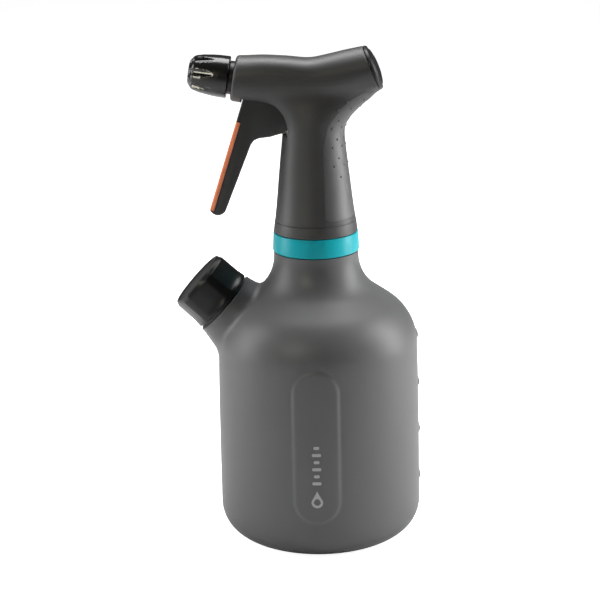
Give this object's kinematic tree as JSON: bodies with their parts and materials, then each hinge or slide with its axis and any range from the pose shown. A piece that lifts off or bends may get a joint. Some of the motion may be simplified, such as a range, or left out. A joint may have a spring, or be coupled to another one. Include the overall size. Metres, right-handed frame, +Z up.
{
  "type": "trigger pump sprayer",
  "caption": "Hand pump sprayer: a round-shouldered bottle with a slanted filler cap, under a screw-on trigger pump head with an adjustable nozzle and a dip tube.",
  "frame": {"origin": "on the bottle's vertical axis, in the plane its foot stands on", "axes": "+Z up along the bottle's axis; -X towards the nozzle and the filler; +Y to the left when looking along +X"},
  "size_m": [0.1328, 0.1126, 0.2711],
  "materials": {
    "bottle_plastic": "satin moulded, slightly waxy",
    "body_plastic": "fine moulded grain",
    "soft_grip": "matt soft-touch with small dots",
    "black_plastic": "glossy moulded",
    "turquoise_plastic": "satin moulded",
    "orange_plastic": "satin moulded",
    "natural_plastic": "milky moulded",
    "acetal": "smooth moulded",
    "seal_rubber": "smooth",
    "steel": "bright wire and ball finish"
  },
  "bodies": {
    "bottle": {"bottle": "bottle_plastic"},
    "neck_seal": {"neck_gasket": "seal_rubber"},
    "head": {"screw_collar": "black_plastic", "vent_valve": "seal_rubber", "collar_ring": "turquoise_plastic", "adapter_ring": "body_plastic", "housing": "body_plastic", "grip_pad": "soft_grip", "rear_cap": "black_plastic", "nozzle_bezel": "black_plastic", "pump_block": "natural_plastic", "riser_plug": "natural_plastic", "inlet_bush": "natural_plastic", "outlet_spring": "steel", "return_spring": "steel", "trigger_pin": "steel", "nozzle_spigot": "black_plastic", "nozzle_oring": "seal_rubber", "swirl_core": "natural_plastic", "dip_tube": "natural_plastic", "strainer": "black_plastic"},
    "filler_seal": {"filler_gasket": "natural_plastic"},
    "filler_cap": {"filler_cap": "black_plastic"},
    "trigger": {"trigger": "black_plastic", "trigger_inlay": "orange_plastic"},
    "piston": {"piston": "natural_plastic", "piston_seal": "seal_rubber"},
    "inlet_ball": {"inlet_ball": "steel"},
    "outlet_ball": {"outlet_ball": "steel"},
    "nozzle_insert": {"nozzle_insert": "acetal"},
    "nozzle_knob": {"nozzle_knob": "black_plastic"}
  },
  "joints": [
    {"name": "head_lift", "type": "slide", "parent": "bottle", "child": "neck_seal", "axis": [0, 0, 1], "range_m": [0, 0.005]},
    {"name": "head_turn", "type": "hinge", "parent": "neck_seal", "child": "head", "pos_m": [0, 0, 0.175], "axis": [0, 0, 1], "range_deg": [0, 450]},
    {"name": "cap_lift", "type": "slide", "parent": "bottle", "child": "filler_seal", "axis": [-0.7314, 0, 0.682], "range_m": [0, 0.005]},
    {"name": "cap_turn", "type": "hinge", "parent": "filler_seal", "child": "filler_cap", "pos_m": [-0.051, 0, 0.1314], "axis": [-0.7314, 0, 0.682], "range_deg": [0, 450]},
    {"name": "trigger_pull", "type": "hinge", "parent": "head", "child": "trigger", "pos_m": [-0.031, 0, 0.246], "axis": [0, -1, 0], "range_deg": [0, 20], "stiffness_Nm_per_rad": 1.6, "springref_deg": -6.88},
    {"name": "piston_slide", "type": "slide", "parent": "head", "child": "piston", "axis": [1, 0, 0], "range_m": [0, 0.00628], "deforming": ["return_spring"]},
    {"name": "inlet_lift", "type": "slide", "parent": "head", "child": "inlet_ball", "axis": [0, 0, 1], "range_m": [0, 0.001]},
    {"name": "outlet_lift", "type": "slide", "parent": "head", "child": "outlet_ball", "axis": [0, 0, 1], "range_m": [0, 0.001], "stiffness_N_per_m": 40, "springref_m": -0.001, "deforming": ["outlet_spring"]},
    {"name": "nozzle_travel", "type": "slide", "parent": "head", "child": "nozzle_insert", "axis": [-0.9877, 0, 0.1564], "range_m": [0, 0.002]},
    {"name": "nozzle_turn", "type": "hinge", "parent": "nozzle_insert", "child": "nozzle_knob", "pos_m": [-0.0422, 0, 0.255], "axis": [-0.9877, 0, 0.1564], "range_deg": [0, 300]}
  ],
  "couplings": [
    {"joint": "head_turn", "follows": "head_lift", "rad_per_m": 1570.8},
    {"joint": "cap_turn", "follows": "cap_lift", "rad_per_m": 1570.8},
    {"joint": "trigger_pull", "follows": "piston_slide", "rad_per_m": 55.556},
    {"joint": "nozzle_turn", "follows": "nozzle_travel", "rad_per_m": 2618}
  ]
}
